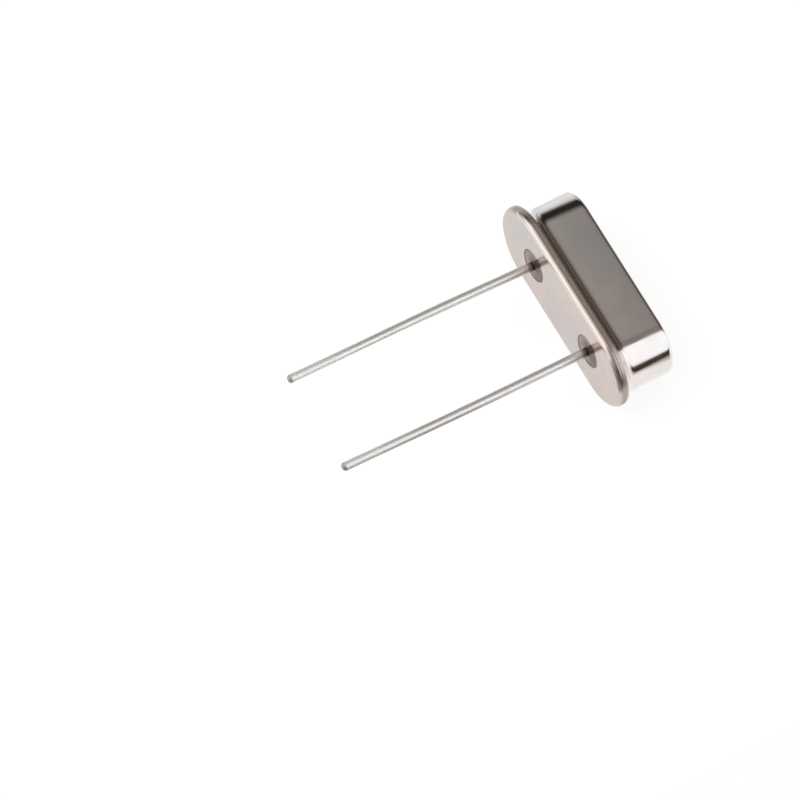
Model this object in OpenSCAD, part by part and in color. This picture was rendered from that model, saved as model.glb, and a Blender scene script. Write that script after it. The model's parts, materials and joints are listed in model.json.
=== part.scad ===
// Quartz crystal in a low two-lead can. All sizes are in millimetres.
// Each piece is drawn upright: the base's outer face is the plane z = 0, the can stands above it
// and the leads hang below it. lay_down() then turns the whole part onto the long side it rests on.

/* [Can] */
// Length of the straight part of each long side
straight = 6.4; // [4:0.1:9]
// Width of the can over its two flat sides
can_w = 3.5; // [2.8:0.05:4.6]
// Height from the base's outer face to the can's top
total_h = 3.15; // [2.7:0.05:5]
// Thickness of the can's walls and top
can_wall = 0.2; // [0.12:0.01:0.3]
// Outer radius of the can's top edge
top_r = 0.3; // [0.21:0.01:0.6]
// Radius of the bend where the wall runs out into the flange
root_r = 0.28; // [0.1:0.01:0.4]

/* [Flange] */
// How far the flange stands out past the can's wall
flange_reach = 0.4; // [0.25:0.01:0.8]
// Thickness of the can's flange
flange_t = 0.24; // [0.15:0.01:0.4]
// Edge radius of the can's flange
flange_edge_r = 0.08; // [0.02:0.01:0.12]

/* [Base] */
// Thickness of the base's rim, which is welded to the can's flange
rim_t = 0.28; // [0.2:0.01:0.5]
// Radius of the rim's outer edge
rim_r = 0.24; // [0.05:0.01:0.26]
// Height of the plug that stands up from the rim into the can
plug_t = 0.5; // [0.3:0.05:0.9]
// Gap between the plug and the can's wall, all round
plug_gap = 0.05; // [0.02:0.01:0.15]
// Edge radius of the plug's top
plug_edge_r = 0.08; // [0.02:0.01:0.2]

/* [Leads and glass] */
// Distance between the two leads, centre to centre
lead_pitch = 4.88; // [3.2:0.01:5.4]
// Diameter of the tinned lead
lead_d = 0.43; // [0.3:0.01:0.6]
// Thickness of the tin on the bare wire
tin_t = 0.01; // [0.005:0.005:0.03]
// Bare length between the base's outer face and the start of the tin
tin_start = 0.3; // [0.1:0.05:0.45]
// Length of each lead outside the base
lead_len = 12.9; // [4:0.1:20]
// Edge radius of the lead's cut end
tip_r = 0.08; // [0.02:0.01:0.12]
// Diameter of the glass bead, which is also the bore in the base
seal_d = 1.66; // [1.1:0.02:2]
// How far the glass lies below the base's face, on each side
seal_recess = 0.03; // [0:0.01:0.1]
// Diameter of the lead's flat head inside the can
head_d = 0.9; // [0.7:0.05:1.2]
// Thickness of the lead's flat head
head_t = 0.15; // [0.1:0.01:0.3]
// Height of the head's underside above the plug
head_rise = 0.12; // [0.05:0.01:0.3]

/* [Clips] */
// Thickness of the clip's spring strip
clip_t = 0.12; // [0.08:0.01:0.15]
// Width of the clip's foot on the lead's head
foot_w = 0.8; // [0.5:0.05:1]
// Gap between the clip's upright leg and the can's flat sides
leg_side_gap = 0.45; // [0.4:0.01:0.55]
// Gap between the corners of the leg and the can's round ends
leg_end_gap = 0.235; // [0.1:0.005:0.35]
// Width of the leg on each side of its slot
leg_cheek = 0.17; // [0.1:0.01:0.25]
// Height of the leg above the strip of quartz
leg_over = 0.25; // [0.15:0.05:0.4]
// Play of the strip in the leg's slot, at its sides and above it
slot_gap = 0.03; // [0.02:0.01:0.05]

/* [Quartz blank] */
// Thickness of the quartz strip
blank_t = 0.21; // [0.1:0.01:0.3]
// Height of the strip's underside above the clip's foot
blank_lift = 0.45; // [0.25:0.05:0.6]
// Length of the strip that stands out past the clip's leg
blank_proud = 0.08; // [0.04:0.01:0.1]
// Thickness of the metal film, drawn thicker than it is
film_t = 0.02; // [0.01:0.005:0.04]
// Bare quartz beside the film's broad field
field_margin = 0.3; // [0.1:0.05:0.35]
// Length of the film's pad at the end of the strip
pad_len = 1.25; // [1.1:0.05:1.3]
// Bare quartz between one film's broad field and the other film's pad
film_gap = 0.55; // [0.2:0.05:0.6]
// Width of the film's tab between field and pad
tab_w = 0.6; // [0.3:0.05:0.8]

/* [Adhesive] */
// Radius of the adhesive dab where it wets the film
dab_r = 0.5; // [0.35:0.05:0.6]
// Height of the adhesive dab
dab_h = 0.2; // [0.1:0.05:0.3]

/* [Hidden] */
$fn = 96;
LEFT = -1;
RIGHT = 1;
cut = 1;                                          // how far a cutting shape runs past what it cuts

can_half = can_w / 2;
bore_half = can_half - can_wall;                  // half width of the space in the can
flange_half = can_half + flange_reach;
flange_top = rim_t + flange_t;
root = min(root_r, flange_reach - flange_edge_r); // the bend ends where the flange's edge begins
rim_edge = min(rim_r, rim_t);
plug_half = bore_half - plug_gap;
plug_top = rim_t + plug_t;
wire_d = lead_d - 2 * tin_t;
head_z = plug_top + head_rise;
foot_z = head_z + head_t;                         // the clip's foot lies on the lead's head
blank_z = foot_z + clip_t + blank_lift;
blank_top = blank_z + blank_t;

// The clip's leg fits into the can's round end, the quartz strip into the leg's slot, and the films
// onto the strip, so each takes its size from the one before and the clearance between them
leg_w = 2 * (bore_half - leg_side_gap);
leg_corner = bore_half - leg_end_gap;             // from the round end's axis to the leg's corner
leg_out = straight / 2 + sqrt(leg_corner * leg_corner - leg_w * leg_w / 4);
leg_in = leg_out - clip_t;
slot_w = leg_w - 2 * leg_cheek;
blank_w = slot_w - 2 * slot_gap;
blank_len = 2 * (leg_out + blank_proud);
field_w = blank_w - 2 * field_margin;
field_len = blank_len - 2 * (pad_len + film_gap);
leg_top = blank_top + film_t + leg_over;

// The part rests on the edge of the can's flange and on the can's top edge. Both are round edges,
// so the floor is the line that touches the two circles, and its slope is the part's tilt.
rest_rise = (flange_half - flange_edge_r) - (can_half - top_r);
rest_run = (total_h - top_r) - (flange_top - flange_edge_r);
rest_span = sqrt(rest_rise * rest_rise + rest_run * rest_run);
tilt = atan2(rest_rise, rest_run) - asin((top_r - flange_edge_r) / rest_span);

// Depth below the axis of a round edge of radius r whose centre is y out and z up, once laid down
function depth(y, z, r) = y * cos(tilt) + z * sin(tilt) + r;
lift = max(depth(flange_half - flange_edge_r, flange_top - flange_edge_r, flange_edge_r),
    depth(flange_half - rim_edge, rim_edge, rim_edge),
    depth(flange_half, rim_t, 0));
// The ends of the laid-down part along the leads, and the point midway between them
top_end = (can_half - top_r) * sin(tilt) + (total_h - top_r) * cos(tilt) + top_r;
tip_end = (lead_d / 2 - tip_r) * sin(tilt) + (lead_len - tip_r) * cos(tilt) + tip_r;
mid_y = (top_end - tip_end) / 2;

// Turns an upright piece onto its rest, with the part's box centred on the origin and on z = 0
module lay_down() {
    translate([0, -mid_y, lift]) rotate([-90 - tilt, 0, 0]) children();
}

// A body with two straight sides and round ends. The child is half of its cross-section,
// with x as the distance out from the middle line and y as the height.
module oblong() {
    rotate([90, 0, 90]) translate([0, 0, -straight / 2]) linear_extrude(straight) {
        children();
        mirror([1, 0]) children();
    }
    for (side = [LEFT, RIGHT])
        translate([side * straight / 2, 0, 0])
            rotate([0, 0, -side * 90]) rotate_extrude(angle = 180) children();
}

// A rectangle from the middle line out to x = half, from y = low to y = high,
// with its outer upper corner rounded to radius upper and its outer lower corner to radius lower
module slab(half, low, high, upper, lower = 0) {
    difference() {
        translate([0, low]) square([half, high - low]);
        if (upper > 0) corner_cut(half, high, upper, 1);
        if (lower > 0) corner_cut(half, low, lower, -1);
    }
}

// What is cut off the corner at (x, y) to round it: the corner's square less its circle
module corner_cut(x, y, r, up) {
    difference() {
        translate([x - r, up > 0 ? y - r : y - cut]) square([r + cut, r + cut]);
        translate([x - r, y - up * r]) circle(r = r);
    }
}

// The hollow bend between an upright wall at x and a plate whose face is at y
module bend(x, y, r) {
    difference() {
        translate([x, y]) square(r);
        translate([x + r, y + r]) circle(r = r);
    }
}

module can_section() {
    inner_bend = root + can_wall;
    difference() {
        union() {
            slab(can_half, rim_t, total_h, top_r);
            slab(flange_half, rim_t, flange_top, flange_edge_r);
            bend(can_half, flange_top, root);
        }
        slab(bore_half, rim_t - cut, total_h - can_wall, top_r - can_wall);
        bend(bore_half, rim_t, inner_bend);
    }
}

module can() {
    color([0.56, 0.53, 0.51]) lay_down() oblong() can_section();
}

module base() {
    color([0.83, 0.79, 0.77]) lay_down() difference() {
        oblong() {
            slab(flange_half, 0, rim_t, 0, rim_edge);
            slab(plug_half, rim_t / 2, plug_top, plug_edge_r);
        }
        for (side = [LEFT, RIGHT])
            translate([side * lead_pitch / 2, 0, -cut]) cylinder(h = plug_top + 2 * cut, d = seal_d);
    }
}

module glass_seal(side) {
    color([0.45, 0.41, 0.4]) lay_down() translate([side * lead_pitch / 2, 0, seal_recess])
        difference() {
            cylinder(h = plug_top - 2 * seal_recess, d = seal_d);
            translate([0, 0, -cut]) cylinder(h = plug_top + 2 * cut, d = wire_d);
        }
}

// Turned about its own axis, with y as the distance out of the base: first the tinned wire,
// then the bare wire through the glass with the flat head inside the can
module lead(side) {
    color([0.72, 0.72, 0.71]) lay_down()
        translate([side * lead_pitch / 2, 0, 0]) rotate([180, 0, 0]) {
            rotate_extrude() slab(lead_d / 2, tin_start, lead_len, tip_r);
            rotate_extrude() {
                translate([0, -head_z]) square([wire_d / 2, head_z + tin_start]);
                translate([0, -foot_z]) square([head_d / 2, head_t]);
            }
        }
}

// Spring strip: a foot on the lead's head, bent up into a leg with a slot for the strip of quartz
module clip(side) {
    foot_in = (lead_pitch - head_d) / 2;
    slot_z = blank_z - film_t;
    color([0.66, 0.64, 0.6]) lay_down() mirror([side == LEFT ? 1 : 0, 0, 0]) difference() {
        union() {
            rotate([90, 0, 0]) translate([0, 0, -foot_w / 2]) linear_extrude(foot_w) difference() {
                translate([foot_in, foot_z]) square([leg_out - foot_in, blank_lift]);
                translate([foot_in - cut, foot_z + clip_t])
                    square([leg_in - foot_in - clip_t + cut, blank_lift]);
                translate([foot_in, foot_z + 2 * clip_t]) square([leg_in - foot_in, blank_lift]);
                translate([leg_in - clip_t, foot_z + 2 * clip_t]) circle(r = clip_t);
                corner_cut(leg_out, foot_z, 2 * clip_t, -1);
            }
            translate([leg_in, -leg_w / 2, foot_z + 2 * clip_t])
                cube([clip_t, leg_w, leg_top - foot_z - 2 * clip_t]);
        }
        translate([leg_in - cut, -slot_w / 2, slot_z])
            cube([clip_t + 2 * cut, slot_w, blank_t + 2 * film_t + slot_gap]);
    }
}

module quartz_blank() {
    color([0.9, 0.93, 0.95, 0.5]) lay_down() translate([-blank_len / 2, -blank_w / 2, blank_z])
        cube([blank_len, blank_w, blank_t]);
}

// Film on the upper face: a broad field and a tab to the left end, where it wraps round the end
module film() {
    pad_x = blank_len / 2 - pad_len;
    translate([-field_len / 2, -field_w / 2, blank_top]) cube([field_len, field_w, film_t]);
    translate([-pad_x, -tab_w / 2, blank_top]) cube([pad_x - field_len / 2, tab_w, film_t]);
    for (z = [blank_z - film_t, blank_top])
        translate([-blank_len / 2 - film_t, -field_w / 2, z]) cube([pad_len + film_t, field_w, film_t]);
    translate([-blank_len / 2 - film_t, -field_w / 2, blank_z - film_t])
        cube([film_t, field_w, blank_t + 2 * film_t]);
}

module electrode_top() {
    color([0.86, 0.86, 0.87]) lay_down() film();
}

// The lower film is the upper one turned half round, so that its pad is at the right end
module electrode_bottom() {
    color([0.86, 0.86, 0.87]) lay_down()
        translate([0, 0, blank_z + blank_top]) rotate([0, 180, 0]) film();
}

// A low dome on the film's pad, cut flat where it meets the clip's leg
module adhesive(side) {
    dome_r = (dab_r * dab_r + dab_h * dab_h) / (2 * dab_h);
    dab_x = leg_in - 0.6 * dab_r;
    color([0.62, 0.62, 0.6]) lay_down() mirror([side == LEFT ? 1 : 0, 0, 0])
        intersection() {
            translate([dab_x, 0, blank_top + film_t + dab_h - dome_r]) sphere(r = dome_r);
            translate([dab_x - dab_r, -dab_r, blank_top + film_t])
                cube([leg_in - dab_x + dab_r, 2 * dab_r, dab_h + cut]);
        }
}

can();
base();
glass_seal(LEFT);  // glass_seal_left
glass_seal(RIGHT);  // glass_seal_right
lead(LEFT);  // lead_left
lead(RIGHT);  // lead_right
clip(LEFT);  // clip_left
clip(RIGHT);  // clip_right
quartz_blank();
electrode_top();
electrode_bottom();
adhesive(LEFT);  // adhesive_left
adhesive(RIGHT);  // adhesive_right
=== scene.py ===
"""Quartz crystal in a low two-lead can: its visible pieces, their finishes and the studio round them.

Every piece is drawn upright in millimetres, as the CAD has it: the base's outer face is the plane
z = 0, the can stands above it and the leads hang below it. A Placement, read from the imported
record, then lays the piece down where the frame has it, in metres.
"""

import json
import logging
import math
from dataclasses import dataclass
from enum import Enum

import bpy
from mathutils import Euler, Matrix, Vector


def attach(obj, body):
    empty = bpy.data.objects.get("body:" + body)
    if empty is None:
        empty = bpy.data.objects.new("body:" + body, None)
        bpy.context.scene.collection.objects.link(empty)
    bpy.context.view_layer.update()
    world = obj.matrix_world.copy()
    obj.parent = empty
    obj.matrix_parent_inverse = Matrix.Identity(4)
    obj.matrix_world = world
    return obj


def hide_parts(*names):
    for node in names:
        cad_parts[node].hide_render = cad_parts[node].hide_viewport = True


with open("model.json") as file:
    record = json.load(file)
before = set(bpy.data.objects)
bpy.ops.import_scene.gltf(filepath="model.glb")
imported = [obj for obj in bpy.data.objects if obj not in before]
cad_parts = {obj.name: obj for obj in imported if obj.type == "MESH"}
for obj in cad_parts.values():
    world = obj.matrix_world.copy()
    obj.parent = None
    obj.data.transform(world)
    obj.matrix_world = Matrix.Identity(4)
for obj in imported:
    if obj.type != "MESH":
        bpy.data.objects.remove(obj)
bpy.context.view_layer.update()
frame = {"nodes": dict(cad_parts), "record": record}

MM = 0.001
BODY = "root"
Point = tuple[float, float]
Colour = tuple[float, float, float, float]
Tree = bpy.types.NodeTree
Socket = bpy.types.NodeSocket
Shade = str | Colour | Socket
Inputs = dict[int | str, object] | tuple[object, ...]
log = logging.getLogger("crystal")


class Side(Enum):
    """Which of two like pieces it is, as the sign of its place along the can."""

    LEFT = -1
    RIGHT = 1


class Slot(Enum):
    """The names of the record's material slots, one for each kind of new piece."""

    CAN = "can_nickel"
    BASE = "base_nickel"
    GLASS = "seal_glass"
    TIN = "lead_tin"


# Small helpers ---------------------------


def linear(colour: str) -> Colour:
    """Turns an sRGB hex colour into the linear one that a socket takes.

    Args:
        colour: Six hex digits after a hash sign.

    Returns:
        Linear red, green and blue, and an alpha of 1.
    """
    parts = [int(colour[i : i + 2], 16) / 255 for i in (1, 3, 5)]
    red, green, blue = [c / 12.92 if c <= 0.04045 else ((c + 0.055) / 1.055) ** 2.4 for c in parts]
    return red, green, blue, 1.0


def grey(level: float) -> Colour:
    """Gives a neutral linear colour of that level."""
    return level, level, level, 1.0


def feed(tree: Tree, node: bpy.types.Node, inputs: Inputs) -> None:
    """Gives a node's sockets their values and links.

    Args:
        tree: The node's tree.
        node: The node.
        inputs: What goes into the sockets, by name or number or in order. Each is another node's
            output, a list of outputs for a socket that takes several, or a value.
    """
    for key, value in inputs.items() if isinstance(inputs, dict) else enumerate(inputs):
        for item in value if isinstance(value, list) else [value]:
            if isinstance(item, Socket):
                tree.links.new(item, node.inputs[key])
            else:
                node.inputs[key].default_value = item


def add_node(tree: Tree, kind: str, inputs: Inputs = (), **settings: object) -> bpy.types.NodeOutputs:
    """Adds a node with its settings, values and links.

    Sockets that share a name go by number. A Mix node's factor is 0, its numbers are 2 and 3 and its
    colours 6 and 7. A Map Range node takes its value, the two ends of its span, and what they become.

    Args:
        tree: The tree that takes the node.
        kind: The node's type.
        inputs: What goes into its sockets, as for feed().
        settings: The node's own properties.

    Returns:
        The node's outputs.
    """
    node = tree.nodes.new(kind)
    for name, value in settings.items():
        setattr(node, name, value)
    feed(tree, node, inputs)
    return node.outputs


def layered(tree: Tree, colour: Shade, layers: list[tuple[Socket, Shade]]) -> Socket:
    """Lays colours over each other, each a hex value, a linear colour or a node's output.

    Args:
        tree: The tree of a material or of the world.
        colour: The lowest colour.
        layers: How much there is of each further colour, and the colour, from the lowest up.

    Returns:
        The colour of them all.
    """
    for share, shade in layers:
        below, above = (linear(c) if isinstance(c, str) else c for c in (colour, shade))
        colour = add_node(tree, "ShaderNodeMix", {0: share, 6: below, 7: above}, data_type="RGBA")[2]
    return colour


def put(name: str, data: bpy.types.ID) -> bpy.types.Object:
    """Makes an object and puts it in the scene.

    Args:
        name: The object's name.
        data: Its mesh, lamp or camera.

    Returns:
        The object.
    """
    item = bpy.data.objects.new(name, data)
    bpy.context.scene.collection.objects.link(item)
    return item


def arc(centre: Point, radius: float, start: float, end: float, steps: int) -> list[Point]:
    """Gives points along part of a circle.

    Args:
        centre: The centre, as distance out and height.
        radius: The radius.
        start: Where it starts, in degrees from the outward direction.
        end: Where it ends, in degrees.
        steps: How many straight pieces stand for it.

    Returns:
        The points, both ends among them.
    """
    turns = [math.radians(start + (end - start) * i / steps) for i in range(steps + 1)]
    return [(centre[0] + radius * math.cos(t), centre[1] + radius * math.sin(t)) for t in turns]


@dataclass(frozen=True)
class Placement:
    """Where the upright drawing lies in the row frame, in metres.

    Attributes:
        origin: The middle of the base's outer face.
        lead_way: The direction in which the leads point.
    """

    origin: Vector
    lead_way: Vector

    @classmethod
    def from_record(cls, record: dict) -> "Placement":
        """Reads the placement from the record's seating face.

        Args:
            record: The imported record.

        Returns:
            The placement.
        """
        seat = next(m for m in record["mounts"] if m["name"] == "seating_face")
        return cls(Vector(seat["pos_m"]), Vector(seat["axis"]).normalized())

    def matrix(self) -> Matrix:
        """Works out how to lay a piece down.

        Returns:
            The matrix that takes an upright mesh in millimetres there.
        """
        up = -self.lead_way
        along = Vector((1, 0, 0))
        across = up.cross(along)
        turn = Matrix((along, across, up)).transposed().to_4x4()
        return Matrix.Translation(self.origin) @ turn @ Matrix.Scale(MM, 4)

    def back(self) -> tuple[Euler, Vector]:
        """Gives the turn and the shift from the row frame back to the upright drawing, in metres."""
        turn = Euler((math.pi / 2 + math.asin(self.lead_way.z), 0.0, 0.0))
        return turn, -(turn.to_matrix() @ self.origin)


# Finishes --------------------------------


@dataclass(frozen=True)
class Finish:
    """What every finish shares: its name, the way the part lies, and the tools for its patterns.

    Attributes:
        name: The material's name.
        placement: Where the part lies, so that patterns follow the upright drawing.
    """

    name: str
    placement: Placement

    def material(self) -> bpy.types.Material:
        """Builds the material, with its patterns along the upright part.

        Returns:
            The material.
        """
        material = bpy.data.materials.new(self.name)
        material.use_nodes = True
        tree = material.node_tree
        place = add_node(tree, "ShaderNodeTexCoord")["Object"]
        turn, shift = self.placement.back()
        lie = {"Vector": place, "Location": shift, "Rotation": turn}
        upright = add_node(tree, "ShaderNodeMapping", lie)["Vector"]
        feed(tree, tree.nodes["Principled BSDF"], self.surface(tree, upright))
        return material

    def surface(self, tree: Tree, place: Socket) -> dict[str, object]:
        """Adds the finish's own nodes.

        Args:
            tree: The material's tree.
            place: The upright coordinates, in metres.

        Returns:
            What goes into the main shader's sockets.
        """
        raise NotImplementedError

    @staticmethod
    def per_mm(spacing: float) -> float:
        """Turns a pattern's real spacing in millimetres into a texture scale."""
        return 1 / (spacing * MM)

    def uneven(self, tree: Tree, place: Socket, swells: list[tuple[float, float, float]]) -> Socket:
        """Raises swells on the surface, the finer ones on the broader ones.

        Args:
            tree: The material's tree.
            place: The upright coordinates, in metres.
            swells: The spacing and height in millimetres of each, and its fine detail.

        Returns:
            The uneven surface's normal.
        """
        normal: dict[str, Socket] = {}
        for spacing, height, detail in swells:
            pattern = {"Vector": place, "Scale": self.per_mm(spacing), "Detail": detail}
            swell = add_node(tree, "ShaderNodeTexNoise", pattern)["Fac"]
            inputs = {"Height": swell, "Strength": 1.0, "Distance": height * MM, **normal}
            normal = {"Normal": add_node(tree, "ShaderNodeBump", inputs)["Normal"]}
        return normal["Normal"]

    @staticmethod
    def across(tree: Tree, place: Socket, steps: tuple[tuple, ...]) -> tuple[Socket, Socket]:
        """Finds where a point lies over the base, from the middle line or from the nearer bore.

        Args:
            tree: The material's tree.
            place: The upright coordinates, in metres.
            steps: The operations that count its place along the can from there.

        Returns:
            Its place from there, and how far out it is.
        """
        parts = add_node(tree, "ShaderNodeSeparateXYZ", (place,))
        along = parts["X"]
        for operation, *values in steps:
            along = add_node(tree, "ShaderNodeMath", (along, *values), operation=operation)[0]
        flat = add_node(tree, "ShaderNodeCombineXYZ", (along, parts["Y"]))[0]
        return flat, add_node(tree, "ShaderNodeVectorMath", (flat,), operation="LENGTH")["Value"]


@dataclass(frozen=True)
class NickelPlate(Finish):
    """Bright nickel plate on pressed steel.

    The plate is a warm grey mirror. Its colour drifts between a greener and a pinker grey and darkens
    in faint patches of haze, laid in at random: painted reflection of the uneven plate. The haze also
    makes it a little rougher. The press leaves it gently uneven, so that what it mirrors is a little
    blurred and never quite straight. The trimmed and welded edge is duller and browner.

    Attributes:
        cool: The greener grey.
        warm: The pinker grey.
        painted_haze_shade: What the haze's painted shade takes the colour down to, as a factor.
        gloss: The roughness where it is clear.
        haze: The roughness in the haze's patches.
        warm_noise: The levels of the noise between which the warm grey comes in.
        painted_haze_shade_noise: The levels between which the painted shade darkens the colour.
        haze_noise: The levels between which the roughness goes up.
        drift_mm: How wide the two greys' patches are.
        cloud_mm: How wide the haze's patches are.
        swell_mm: How far apart the press's swells are.
        swell_height_mm: How high they stand.
        grain_mm: The sheet's grain, drawn coarser than its real 0.01 mm so that it shows.
        grain_height_mm: How high the grain stands.
        straight_mm: The length of the oblong's straight sides.
        edge_mm: How far out from the middle line the dull edge starts, and where it is full.
        edge: The edge's colour.
        edge_rough: The edge's roughness.
    """

    cool: str = "#D2CBC4"
    warm: str = "#D9CAC4"
    painted_haze_shade: float = 0.94
    gloss: float = 0.10
    haze: float = 0.19
    warm_noise: tuple[float, float] = (0.38, 0.62)
    painted_haze_shade_noise: tuple[float, float] = (0.3, 0.7)
    haze_noise: tuple[float, float] = (0.35, 0.7)
    drift_mm: float = 3.4
    cloud_mm: float = 1.1
    swell_mm: float = 2.2
    swell_height_mm: float = 0.0030
    grain_mm: float = 0.06
    grain_height_mm: float = 0.00007
    straight_mm: float = 6.4
    edge_mm: tuple[float, float] = (2.07, 2.13)
    edge: str = "#B9AA9E"
    edge_rough: float = 0.42

    def surface(self, tree: Tree, place: Socket) -> dict[str, object]:
        """Adds the drift between the greys, the haze, the dull edge and the swells.

        Args:
            tree: The material's tree.
            place: The upright coordinates, in metres.

        Returns:
            What goes into the main shader's sockets.
        """
        patterns = [
            {"Vector": place, "Scale": self.per_mm(width), "Detail": detail, "Roughness": fine}
            for width, detail, fine in ((self.drift_mm, 1.5, 0.4), (self.cloud_mm, 3.0, 0.55))
        ]
        drift, cloud = (add_node(tree, "ShaderNodeTexNoise", pattern)["Fac"] for pattern in patterns)
        # The drift between the greys and the haze's darker colour are painted reflection; the haze's
        # roughness is the plate's own.
        spans = (
            (drift, *self.warm_noise, 0.0, 1.0),
            (cloud, *self.painted_haze_shade_noise, 1.0, self.painted_haze_shade),
            (cloud, *self.haze_noise, self.gloss, self.haze),
        )
        hue, shade, rough = (add_node(tree, "ShaderNodeMapRange", span)["Result"] for span in spans)
        clear = {0: 1.0, 6: layered(tree, self.cool, [(hue, self.warm)]), 7: shade}
        tone_with_painted_reflection = add_node(tree, "ShaderNodeMix", clear, data_type="RGBA", blend_type="MULTIPLY")[2]
        end = self.straight_mm / 2 * MM
        _, out = self.across(tree, place, (("ABSOLUTE",), ("SUBTRACT", end), ("MAXIMUM", 0.0)))
        edge = (out, *(far * MM for far in self.edge_mm))
        share = add_node(tree, "ShaderNodeMapRange", edge, interpolation_type="SMOOTHSTEP")["Result"]
        dulled = {0: share, 2: rough, 3: self.edge_rough}
        swells = [(self.swell_mm, self.swell_height_mm, 1.0), (self.grain_mm, self.grain_height_mm, 2.0)]
        return {
            "Metallic": 1.0,
            "Base Color": layered(tree, tone_with_painted_reflection, [(share, self.edge)]),
            "Roughness": add_node(tree, "ShaderNodeMix", dulled, data_type="FLOAT")[0],
            "Normal": self.uneven(tree, place, swells),
        }


@dataclass(frozen=True)
class DippedTin(Finish):
    """Tin on round wire, dipped hot.

    It is satin and slightly uneven, paler and cooler than the nickel. Next to the base its colour
    turns pinker, a painted reflection of the nickel, and it frosts over a little towards the tip.

    Attributes:
        bright: The tin's colour.
        dull: Its colour in the duller patches.
        painted_pink_reflection: The pinker colour next to the base, a painted reflection of the nickel.
        frosty: The colour towards the tip.
        cut: The colour of the cut end, where the wire itself shows.
        oxide: The dark collar at the glass, oxide from the sealing heat and painted shade together.
        gloss: The roughness of the brightest patches.
        satin: The roughness of the duller ones.
        satin_noise: The levels of the noise between which it gets duller.
        frost: How much rougher it is towards the tip.
        painted_pink_reflection_mm: Where the painted reflection starts below the base, and where it's full.
        frost_mm: Where the frost starts, and where it is full.
        cut_mm: Where the cut end's rounding starts, and where its colour is full.
        oxide_mm: Where the collar starts, and where it is full.
        drift_mm: How wide the patches are.
        grain_mm: The grain, drawn coarser than its real 0.01 mm so that it shows.
        grain_height_mm: How high the grain stands.
        metallic: How much of it is clean metal, under a thin dull bloom of oxide.
    """

    bright: str = "#E7E1DA"
    dull: str = "#DBD5CE"
    painted_pink_reflection: str = "#E4DAD3"
    frosty: str = "#F3EFEA"
    cut: str = "#B2AFAB"
    oxide: str = "#5A463C"
    gloss: float = 0.38
    satin: float = 0.45
    satin_noise: tuple[float, float] = (0.3, 0.7)
    frost: float = 0.12
    painted_pink_reflection_mm: tuple[float, float] = (2.0, 0.0)
    frost_mm: tuple[float, float] = (8.5, 11.0)
    cut_mm: tuple[float, float] = (12.7, 12.82)
    oxide_mm: tuple[float, float] = (0.34, 0.08)
    drift_mm: float = 0.9
    grain_mm: float = 0.05
    grain_height_mm: float = 0.00003
    metallic: float = 0.88

    def surface(self, tree: Tree, place: Socket) -> dict[str, object]:
        """Adds the duller patches, the zones along the wire and the grain.

        Args:
            tree: The material's tree.
            place: The upright coordinates, in metres.

        Returns:
            What goes into the main shader's sockets.
        """
        pattern = {"Vector": place, "Scale": self.per_mm(self.drift_mm), "Detail": 4.0}
        drift = add_node(tree, "ShaderNodeTexNoise", pattern)["Fac"]
        height = add_node(tree, "ShaderNodeSeparateXYZ", (place,))["Z"]
        layers = [(drift, self.dull)]
        for (start, full), shade, course in (
            # Painted pink reflection of the nickel, next to the base.
            (self.painted_pink_reflection_mm, self.painted_pink_reflection, "SMOOTHSTEP"),
            (self.frost_mm, self.frosty, "LINEAR"),
            (self.cut_mm, self.cut, "LINEAR"),
            # The collar at the glass: oxide and painted shade.
            (self.oxide_mm, self.oxide, "LINEAR"),
        ):
            span = (height, -start * MM, -full * MM)
            zone = add_node(tree, "ShaderNodeMapRange", span, interpolation_type=course)["Result"]
            layers.append((zone, shade))
        frosted = layers[2][0]
        patchy = (drift, *self.satin_noise, self.gloss, self.satin)
        rough = (frosted, self.frost, add_node(tree, "ShaderNodeMapRange", patchy)["Result"])
        return {
            "Metallic": self.metallic,
            "Base Color": layered(tree, self.bright, layers),
            "Roughness": add_node(tree, "ShaderNodeMath", rough, operation="MULTIPLY_ADD")[0],
            "Normal": self.uneven(tree, place, [(self.grain_mm, self.grain_height_mm, 2.0)]),
        }


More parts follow.
